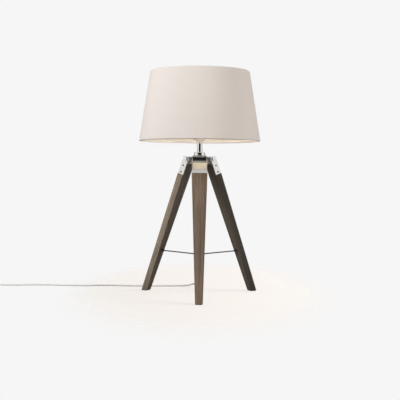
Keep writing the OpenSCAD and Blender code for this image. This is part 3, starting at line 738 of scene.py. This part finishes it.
def make_plug(material):
    """A flat plug, moulded on the lead, with a waist, grip ribs and a ringed neck."""
    low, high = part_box("plug_body")
    centre = middle("plug_body")
    wide, whole, tall = high - low
    neck = 14 * MM
    body = whole - neck
    straight = 0.45 * body
    back_w = 0.56 * wide
    # Each station is a place along the plug, its width, its height and how square it is.
    stations = []
    for less, depth in ((3.2, 0.0), (1.4, 0.4), (0.4, 1.0), (0.0, 2.0)):
        stations.append((depth * MM, wide - less * MM, tall - less * MM, 4.5))
    rib_h = 0.45 * MM
    waist = 1.2 * MM
    last = 4 * 5  # four stations for each of the ribs
    for k in range(last + 1):
        t = k / last
        y = straight + (body - straight - 3 * MM) * t
        ease = t * t * (3 - 2 * t)
        ridge = rib_h if k % 4 in (1, 2) and 2 < k < last - 1 else 0.0
        w = wide + (back_w - wide) * ease + 2 * ridge - 2 * rib_h * t
        h = tall - waist * math.sin(math.pi * t) + 2 * ridge - 2 * rib_h
        stations.append((y, w, h, 4.5 - 1.5 * t))
    stations.append((body - 1.2 * MM, back_w * 0.86, tall * 0.84, 2.6))
    stations.append((body, 10.4 * MM, 10.4 * MM, 2.0))
    rings = 5
    step = neck / rings
    for k in range(rings):
        r = 5.2 * MM - 1.6 * MM * (k + 0.5) / rings
        for part, cut in ((0.35, 0.0), (0.47, 0.5), (0.77, 0.5), (0.89, 0.0)):
            size = 2 * (r - cut * MM)
            stations.append((body + (k + part) * step, size, size, 2.0))
    stations.append((whole, 7.2 * MM, 7.2 * MM, 2.0))
    count = 64
    points = [
        (centre.x + x, low.y + y, centre.z + z)
        for y, w, h, power in stations for x, z in rounded(w, h, power, count)
    ]
    faces = grid_faces(len(stations), count) + caps(len(stations), count)
    obj = piece("plug", points, faces, material, "lamp_head")
    crease(obj, 40)
    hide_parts("plug_body")
    return obj


def make_tie():
    """A soft hook-and-loop strap round the two sides of the coil's front."""
    low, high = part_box("cord_tie")
    # Knitted nylon: matt, with a dry fuzzy nap.
    nap = moulded(
        "knitted_nylon_strap", linear("#d3d0ca"), 0.9, grain=0.8 * MM, bump=0.5,
        sheen_weight=0.4,
    )
    thick = 0.7 * MM
    centre = middle("cord_tie")
    count = 64
    points = []
    for x in (low.x, high.x):
        for inset in (0, thick):
            w = high.y - low.y - 2 * inset
            h = high.z - low.z - 2 * inset
            for y, z in rounded(w, h, 7, count):
                points.append((x, centre.y + y, centre.z + z))
    # The rings of points are outside and inside at one end, then at the other.
    faces = []
    for k in range(count):
        n = (k + 1) % count
        for first, second in ((0, 2), (3, 1), (1, 0), (2, 3)):
            near = first * count
            far = second * count
            faces.append((near + k, near + n, far + n, far + k))
    obj = piece("coil_strap", points, faces, nap, "lamp_head")
    round_edges(obj, 0.2 * MM, 2, "ANGLE", 50)
    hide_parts("cord_tie")
    return obj


class LAMP_OT_lead(bpy.types.Operator):
    """Makes the lead with its strain relief, its tied coil and its plug"""
    bl_idname = "lamp.lead"
    bl_label = "Lead"

    def execute(self, context):
        sizes = context.scene.lamp_sizes
        rgb = context.scene.lamp_colours.lead
        # Soft PVC, extruded: even, slightly waxy and a little glossy along its length.
        sheath = moulded("extruded_soft_pvc", rgb, 0.42, bump=0.03, ior=1.53)
        # Harder PVC, moulded over the wires: the same colour, drier and with a fine spark grain.
        grip = moulded("moulded_pvc", rgb, 0.5, grain=0.5 * MM, bump=0.1, ior=1.53)
        plug = make_plug(grip)
        relief = make_relief(grip, sizes.lead_diameter)
        tie = make_tie()
        lead = make_lead(sheath, sizes.lead_diameter)
        # Nickel-plated brass pins: bright, faintly yellow, with drawn marks along them.
        pins = metal("nickel_plated_brass", linear("#cfcbc2"), 0.2, brush=(MM, 12 * MM, MM))
        dress(["plug_pins"], pins)
        lit_by("fill_light", lead, relief, tie, plug)
        return {"FINISHED"}


# ---- Shade ----

def shade_point(along, out):
    """A point of the shade's section: along its slope from the lower edge, and outwards."""
    return (
        SHADE_LOW_R - along * math.sin(SHADE_SLOPE) + out * math.cos(SHADE_SLOPE),
        SHADE_LOW + along * math.cos(SHADE_SLOPE) + out * math.sin(SHADE_SLOPE),
    )


def make_cover(material, hem_depth):
    """The cloth turns round the wire ring at each edge and ends in a hem on the lining."""
    wire_along = 2.0 * MM
    wire_out = -3.3 * MM
    roll_r = 2.2 * MM
    flap_out = -2.2 * MM
    flap_back = -1.75 * MM
    wall = 1.05 * MM
    edge = arc((roll_r, -roll_r), roll_r, 90, 180, 5)
    edge += arc((wire_along, wire_out), roll_r, 180, 335, 9)
    edge += [
        (hem_depth - 0.3 * MM, flap_out), (hem_depth, flap_out + 0.2 * MM),
        (hem_depth - 0.1 * MM, flap_back), (4.6 * MM, flap_back), (4.4 * MM, -wall),
    ]
    upper = [(SHADE_LENGTH - along, out) for along, out in reversed(edge)]
    section = [shade_point(along, out) for along, out in edge + upper]
    steps = 256
    obj = lathe("shade_cloth", section, material, "lamp_head", steps, closed=True)
    add_cloth_uv(obj, steps, section)
    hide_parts("shade_cover")
    return obj


def make_seam(material, width):
    """The cloth's end, glued down over itself at the back from hem to hem."""
    proud = 0.45 * MM
    inset = 1.2 * MM
    columns = 9
    rows = 25
    outer = []
    inner = []
    uv_points = []
    for row in range(rows):
        along = inset + (SHADE_LENGTH - 2 * inset) * row / (rows - 1)
        for column in range(columns):
            across = 2 * column / (columns - 1) - 1
            lift = proud * min(1, 4.5 * (1 - abs(across)) + 0.12)
            angle = math.pi + across * width / 2 / shade_point(along, 0)[0]
            for wall, out in ((outer, lift), (inner, -0.3 * MM)):
                r, z = shade_point(along, out)
                wall.append(around(r, angle, z))
            uv_points.append((across * width / 2, along))
    count = rows * columns
    top = grid_faces(rows, columns, close_columns=False)
    faces = top + [tuple(count + k for k in reversed(face)) for face in top]
    rim = list(range(columns))
    rim += [row * columns + columns - 1 for row in range(1, rows)]
    rim += [(rows - 1) * columns + k for k in reversed(range(columns - 1))]
    rim += [row * columns for row in reversed(range(1, rows - 1))]
    for a, b in zip(rim, rim[1:] + rim[:1]):
        faces.append((b, a, count + a, count + b))
    obj = piece("shade_seam", outer + inner, faces, material, "lamp_head")
    uvs = obj.data.uv_layers.new(name="cloth")
    for loop in obj.data.loops:
        uvs.data[loop.index].uv = uv_points[loop.vertex_index % count]
    crease(obj, 40)
    return obj


def make_lining(material):
    """A thin skin inside the cloth, which ends under the hems."""
    first = 4.8 * MM
    face = -1.1 * MM
    back = -1.7 * MM
    stops = (first, SHADE_LENGTH / 2, SHADE_LENGTH - first)
    section = [shade_point(first, face)] + [shade_point(along, back) for along in stops]
    section += [shade_point(along, face) for along in stops[:0:-1]]
    obj = lathe("lining", section, material, "lamp_head", steps=256, closed=True)
    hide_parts("shade_lining")
    return obj


class LAMP_OT_shade(bpy.types.Operator):
    """Makes the shade: the cloth with its hems and seam, the lining, the rings and the fitter"""
    bl_idname = "lamp.shade"
    bl_label = "Shade"

    def execute(self, context):
        sizes = context.scene.lamp_sizes
        palette = context.scene.lamp_colours
        # Cotton, plain-woven and laminated on a stiff film: flat, dry, with a faint bright nap.
        cotton = woven("woven_cotton_laminate", palette.shade, sizes.thread, 1.4 * MM, 0.25)
        # Styrene lining: smooth, cream and even, a little glossier than the cloth.
        styrene = moulded(
            "styrene_film", palette.lining, 0.62, grain=0.9 * MM, bump=0.02, ior=1.5,
            drift=0.012,
        )
        cover = make_cover(cotton, sizes.hem_depth)
        seam = make_seam(cotton, sizes.seam_width)
        lining = make_lining(styrene)
        # Steel wire under a white powder coat: matt, with the coat's fine orange-peel skin.
        coat = moulded("powder_coated_wire", linear("#e6e3de"), 0.45, grain=0.7 * MM, bump=0.25)
        wires = ["shade_top_ring", "shade_bottom_ring", "shade_fitter"]
        dress(wires, coat)
        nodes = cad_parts
        lit_by("key_light", lining, state="EXCLUDE")
        lit_by("fill_light", cover, seam)
        lit_by("under_light", nodes["holder_base"], nodes["shade_bottom_ring"])
        lit_by("glow", cover, lining, *(nodes[name] for name in wires))
        return {"FINISHED"}


# ---- Legs, brackets and spreader ----

class LAMP_OT_legs(bpy.types.Operator):
    """Gives the legs their washed wood and the feet their pads"""
    bl_idname = "lamp.legs"
    bl_label = "Legs"

    def execute(self, context):
        palette = context.scene.lamp_colours
        for i, side in enumerate(SIDES):
            # The right leg's tone halves its colours: painted shade for the shadow that the shade
            # casts on it.
            light, dark = (
                tuple(a * b for a, b in zip(WOOD_TONES_AND_PAINTED_SHADE[i], tone))
                for tone in (palette.wood_light, palette.wood_dark)
            )
            dress([f"{side}_leg"], washed_wood(i, light, dark))
        # Moulded rubber pads: dark and dry, with a fine matt grain.
        rubber = moulded(
            "moulded_rubber", linear("#34302d"), 0.8, grain=0.5 * MM, bump=0.2, ior=1.52,
        )
        dress([f"{side}_foot_pad" for side in SIDES], rubber)
        return {"FINISHED"}


def merge(obj):
    """Joins the points of a mesh that lie on each other and turns its faces outwards."""
    made = bmesh.new()
    made.from_mesh(obj.data)
    bmesh.ops.remove_doubles(made, verts=made.verts, dist=WELD)
    bmesh.ops.dissolve_degenerate(made, edges=made.edges, dist=WELD)
    bmesh.ops.recalc_face_normals(made, faces=made.faces)
    made.to_mesh(obj.data)
    made.free()


SCREW_HEAD_R = 2.4 * MM
SCREW_HEAD_H = 1.1 * MM
SCREW_SHANK_R = 1.5 * MM
SCREW_LENGTH = 10 * MM
# The head from its middle to its rim and down, as shares of its radius and its height.
SCREW_CROWN = ((0, 1), (0.45, 0.98), (0.8, 0.825), (0.97, 0.545), (1, 0.3), (1, 0))


def cross_screws(name, places, material, body):
    """Pan-head screws with a cross recess. Each place has its +Z into the work."""
    steps = 32
    profile = [(r * SCREW_HEAD_R, -z * SCREW_HEAD_H) for r, z in SCREW_CROWN]
    profile += [
        (SCREW_SHANK_R, 0), (SCREW_SHANK_R, SCREW_LENGTH - SCREW_SHANK_R), (0, SCREW_LENGTH),
    ]
    points = [(r * math.cos(a), r * math.sin(a), z) for r, z in profile for a in turns(steps)]
    faces = [face[::-1] for face in grid_faces(len(profile), steps)]
    screws = piece(name, points, faces, material, body)
    merge(screws)
    arm = 0.62 * SCREW_HEAD_R
    half = 0.13 * SCREW_HEAD_R
    cross = [(half, half), (arm, half), (arm, -half)]
    for quarter in range(3):
        cross += [(y, -x) for x, y in cross[-3:]]
    narrowing = 0.55
    floor = -0.38 * SCREW_HEAD_H
    points = [(x, y, -SCREW_HEAD_H - 1 * MM) for x, y in cross]
    points += [(narrowing * x, narrowing * y, floor) for x, y in cross]
    faces = grid_faces(2, len(cross)) + caps(2, len(cross))
    cutter = placed("recess", mesh_of("recess", points, faces))
    merge(cutter)
    cut = screws.modifiers.new("recess", "BOOLEAN")
    cut.object = cutter
    cut.operation = "DIFFERENCE"
    cut.solver = "EXACT"
    carry_out(screws)
    bpy.data.objects.remove(cutter)
    one = screws.data
    points = [place @ v.co for place in places for v in one.vertices]
    faces = [
        tuple(start + k for k in polygon.vertices)
        for start in range(0, len(points), len(one.vertices)) for polygon in one.polygons
    ]
    screws.data = mesh_of(name, points, faces, material)
    screws.data.shade_smooth()
    crease(screws, 30)
    return screws


def screw_places(i):
    """Where a leg's four screws sit: two rows on each side, each turned its own way."""
    board = board_place(i)
    own = board.inverted()
    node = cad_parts[f"{SIDES[i]}_bracket_screws"]
    points = [own @ v.co for v in node.data.vertices]
    face_x = max(p.x for p in points) - SCREW_HEAD_H
    heights = [p.z for p in points]
    halfway = (max(heights) + min(heights)) / 2
    rows = [z for z in heights if z > halfway], [z for z in heights if z < halfway]
    places = []
    for row in rows:
        for s in (-1, 1):
            seat = Matrix.Translation((s * face_x, 0, (max(row) + min(row)) / 2))
            inwards = Matrix.Rotation(-s * math.pi / 2, 4, "Y")
            skew = Matrix.Rotation(math.radians(20 + 35 * i + 50 * s), 4, "Z")
            places.append(board @ seat @ inwards @ skew)
    return places


class LAMP_OT_brackets(bpy.types.Operator):
    """Gives the legs their satin sheet brackets, cross-head screws and hinge pins"""
    bl_idname = "lamp.brackets"
    bl_label = "Leg brackets"

    def execute(self, context):
        # Nickel-plated sheet steel, satin brushed: pale, with a broad soft highlight.
        satin = metal(
            "satin_nickel_sheet", linear("#e9e6e1"), 0.17, brush=(0.6 * MM, 9 * MM, 9 * MM),
            bump=0.04,
        )
        # Blackened steel screws: dark and half matt, with an uneven gleam.
        black = metal("blackened_steel", linear("#5a5651"), 0.42, spread=0.08)
        for side in SIDES:
            softened(
                f"{side}_bracket_sheet", f"{side}_bracket", f"{side}_leg", satin,
                0.4 * MM,
            )
        dress([f"{side}_hinge_pin" for side in SIDES], satin)
        for i, side in enumerate(SIDES):
            obj = cross_screws(f"{side}_cross_screws", screw_places(i), black, f"{side}_leg")
            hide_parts(f"{side}_bracket_screws")
        return {"FINISHED"}


class LAMP_OT_spreader(bpy.types.Operator):
    """Gives the spreader's rods, clevises and centre plate their dark steel"""
    bl_idname = "lamp.spreader"
    bl_label = "Spreader"

    def execute(self, context):
        # Gunmetal-plated steel wire: dark grey with a soft gleam.
        gunmetal = metal("gunmetal_plated_steel", linear("#6d6a67"), 0.34, spread=0.06)
        rods = [f"{side}_{part}" for side in SIDES for part in ("rod", "clevis", "rod_pin")]
        dress(["spreader_plate", "spreader_screw"] + rods, gunmetal)
        return {"FINISHED"}


# ---- Hub and lampholder ----

class LAMP_OT_hub(bpy.types.Operator):
    """Gives the hub, its collar, the neck and the parts under it their metal"""
    bl_idname = "lamp.hub"
    bl_label = "Hub and neck"

    def execute(self, context):
        # Polished chrome: nearly a mirror, neutral, with a trace of wiping marks.
        chrome = metal("polished_chrome", linear("#f0efee"), 0.07, spread=0.02)
        # Zinc-plated steel: duller, with a grainy spangle.
        zinc = metal("zinc_plated_steel", linear("#b9b7ae"), 0.38, spread=0.1)
        dress(["hub_collar", "neck_tube"], chrome)
        plate_h = 3.7 * MM
        plate_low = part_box("hub")[1].z - plate_h

        def on_plate(edge):
            return all(v.co.z > plate_low for v in edge.verts)

        softened("cast_hub", "hub", "lamp_head", chrome, 1.6 * MM, on_plate)
        dress(["threaded_tube", "hub_washer", "hub_nut"], zinc)
        return {"FINISHED"}


class LAMP_OT_lampholder(bpy.types.Operator):
    """Gives the lampholder, its switch and its inner parts their materials"""
    bl_idname = "lamp.lampholder"
    bl_label = "Lampholder"

    def execute(self, context):
        rgb = context.scene.lamp_colours.holder
        # Thermoset moulding: even, warm, with the half gloss of a polished mould.
        resin = moulded("moulded_thermoset", rgb, 0.32, ior=1.5)
        dress(["holder_base", "holder_body", "shade_ring"], resin)
        # Black ABS push bar: glossy from the mould.
        dress(["switch_bar"], moulded("black_abs", linear("#1b1b1c"), 0.25, ior=1.53))
        # Glazed porcelain: white, wet-looking, with a clear coat of glaze.
        glaze = moulded(
            "glazed_porcelain", linear("#efece4"), 0.3, coat_weight=0.8, coat_roughness=0.06,
        )
        dress(["insulator"], glaze)
        # Sheet brass: warm yellow, drawn smooth.
        dress(["screw_shell", "centre_contact"], metal("drawn_brass", linear("#d3ac55"), 0.25))
        return {"FINISHED"}


def make_cap(material):
    """A rolled screw cap, which narrows to the contact at its foot."""
    low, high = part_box("bulb_cap")
    radius = (high.x - low.x) / 2
    pitch = 3.6 * MM
    deep = 0.9 * MM
    steps = 72
    tip = ((0, 0), (3.6, 0.2), (4.5, 0.9), (6, 2.5), (9.5, 4.4), (12.0, 6.0))
    rows = [[(r * MM, low.z + z * MM)] * steps for r, z in tip]
    thread_low = low.z + 7 * MM
    thread_high = high.z - 2.2 * MM
    count = 48
    for k in range(count + 1):
        base = thread_low + (thread_high - thread_low) * k / count
        fade = min(1, 6 * k / count, 6 * (count - k) / count)
        start = math.tau * (base - thread_low) / pitch
        rows.append([
            (radius - deep * fade * (0.5 - 0.5 * math.cos(start - angle)), base)
            for angle in turns(steps)
        ])
    rows += [[(radius, high.z)] * steps, [(0, high.z)] * steps]
    points = [around(r, angle, z) for row in rows for angle, (r, z) in zip(turns(steps), row)]
    obj = piece("bulb_screw_cap", points, grid_faces(len(rows), steps), material, "bulb")
    merge(obj)
    obj.data.shade_smooth()
    crease(obj, 50)
    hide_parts("bulb_cap")


def make_sink(material):
    """The flared body between the cap and the globe."""
    low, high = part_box("bulb_heat_sink")
    foot = widest("bulb_heat_sink", low.z)
    top = (high.x - low.x) / 2
    tall = high.z - low.z
    profile = [(0, low.z), (foot - 0.6 * MM, low.z), (foot, low.z + 0.6 * MM)]
    for k in range(1, 16):
        t = k / 16
        profile.append((foot + (top - foot) * (t ** 0.62), low.z + tall * (0.05 + 0.89 * t)))
    profile += [(top, high.z - 0.6 * MM), (top - 0.5 * MM, high.z), (0, high.z)]
    obj = lathe("bulb_sink", profile, material, "bulb")
    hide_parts("bulb_heat_sink")


def make_globe(material):
    """A thin-walled globe, open below."""
    low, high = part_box("bulb_globe")
    radius = (high.x - low.x) / 2
    centre = high.z - radius
    wall = 1.2 * MM
    start = math.degrees(math.asin((low.z - centre) / radius))
    outer = arc((0, centre), radius, start, 89.5, 40)
    inner = arc((0, centre), radius - wall, 89.5, start, 40)
    obj = lathe("opal_globe", outer + inner, material, "bulb", closed=True)
    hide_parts("bulb_globe")


class LAMP_OT_bulb(bpy.types.Operator):
    """Makes the bulb: a threaded cap, a white heat sink and an opal globe"""
    bl_idname = "lamp.bulb"
    bl_label = "Bulb"

    def execute(self, context):
        # Nickel-plated cap: thin rolled metal, bright in its thread.
        make_cap(metal("nickel_plated_cap", linear("#c9c7c1"), 0.24))
        # White coated aluminium: a dense satin paint over cast metal.
        make_sink(moulded("white_coated_aluminium", linear("#f0efec"), 0.4, bump=0.08))
        # Opal polycarbonate: milky, so light of every colour softens a little under its skin.
        make_globe(moulded(
            "opal_polycarbonate", linear("#f7f5ef"), 0.3, bump=0.01, ior=1.58,
            subsurface_weight=0.25, subsurface_scale=4 * MM, subsurface_radius=(1, 1, 1),
        ))
        return {"FINISHED"}


# ---- Add-on ----

class LAMP_PT_panel(bpy.types.Panel):
    """Lists the lamp's sizes, colours and pieces"""
    bl_idname = "LAMP_PT_panel"
    bl_label = "Tripod table lamp"
    bl_space_type = "VIEW_3D"
    bl_region_type = "UI"
    bl_category = "Lamp"

    def draw(self, context):
        for group in (context.scene.lamp_sizes, context.scene.lamp_colours):
            column = self.layout.column(align=True)
            for name in group.__annotations__:
                column.prop(group, name)
        column = self.layout.column(align=True)
        for operator in OPERATORS:
            column.operator(operator.bl_idname)


OPERATORS = (
    LAMP_OT_stage, LAMP_OT_lead, LAMP_OT_shade, LAMP_OT_legs, LAMP_OT_brackets,
    LAMP_OT_spreader, LAMP_OT_hub, LAMP_OT_lampholder, LAMP_OT_bulb,
)
CLASSES = (LampSizes, LampColours, *OPERATORS, LAMP_PT_panel)


def register():
    for cls in CLASSES:
        bpy.utils.register_class(cls)
    bpy.types.Scene.lamp_sizes = bpy.props.PointerProperty(type=LampSizes)
    bpy.types.Scene.lamp_colours = bpy.props.PointerProperty(type=LampColours)


def unregister():
    del bpy.types.Scene.lamp_colours
    del bpy.types.Scene.lamp_sizes
    for cls in reversed(CLASSES):
        bpy.utils.unregister_class(cls)


def main():
    register()
    bpy.ops.lamp.stage()
    bpy.ops.lamp.lead()
    bpy.ops.lamp.shade()
    bpy.ops.lamp.legs()
    bpy.ops.lamp.brackets()
    bpy.ops.lamp.spreader()
    bpy.ops.lamp.hub()
    bpy.ops.lamp.lampholder()
    bpy.ops.lamp.bulb()


if __name__ == "__main__":
    main()
